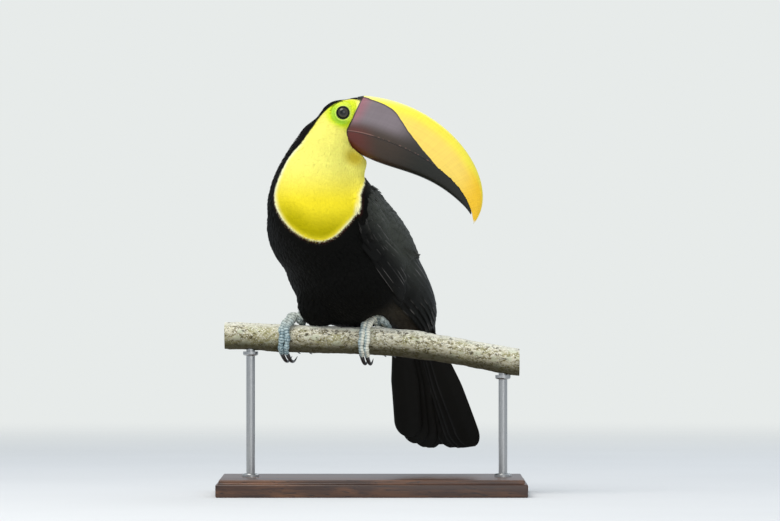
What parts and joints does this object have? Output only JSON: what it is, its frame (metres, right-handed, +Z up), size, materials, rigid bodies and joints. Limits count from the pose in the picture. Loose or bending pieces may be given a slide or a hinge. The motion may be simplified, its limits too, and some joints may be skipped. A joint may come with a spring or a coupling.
{
  "type": "perched toucan display model",
  "caption": "Life-size toucan with its head turned over its shoulder, gripping a cut length of branch held on a flat wooden base by steel rods",
  "frame": {"origin": "Middle of the underside of the display base, on the surface it stands on", "axes": "+Z up; +X along the perch, the way the bill points; -Y towards the side from which the bill is seen in profile with the bib in front; +Y towards the tail"},
  "size_m": [0.32, 0.2351, 0.4129],
  "materials": {
    "bill_horn": "satin horn, lemon yellow above and maroon to black below",
    "claw_horn": "polished black horn",
    "eye": "wet gloss, dark brown iris",
    "foot_scales": "blue-grey scutes, dry satin",
    "bib_feathers": "soft lemon-yellow feathering with a black crown and nape",
    "body_feathers": "soft black feathering",
    "wing_feathers": "black flight feathers and coverts with a grey sheen",
    "tail_feathers": "black tail feathers",
    "bark": "dry pale bark with lichen specks",
    "base_wood": "oiled dark hardwood",
    "rod_steel": "brushed"
  },
  "bodies": {
    "root": {"bill_lower": "bill_horn", "bill_upper": "bill_horn", "claw_left_first": "claw_horn", "claw_left_fourth": "claw_horn", "claw_left_second": "claw_horn", "claw_left_third": "claw_horn", "claw_right_first": "claw_horn", "claw_right_fourth": "claw_horn", "claw_right_second": "claw_horn", "claw_right_third": "claw_horn", "eye_left": "eye", "eye_right": "eye", "foot_left": "foot_scales", "foot_right": "foot_scales", "head": "bib_feathers", "neck": "bib_feathers", "perch": "bark", "stand_base": "base_wood", "stand_rod_left": "rod_steel", "stand_rod_right": "rod_steel", "tail": "tail_feathers", "thigh_left": "body_feathers", "thigh_right": "body_feathers", "trunk": "body_feathers", "wing_left_coverts": "wing_feathers", "wing_left_quills": "wing_feathers", "wing_right_coverts": "wing_feathers", "wing_right_quills": "wing_feathers"}
  },
  "joints": []
}
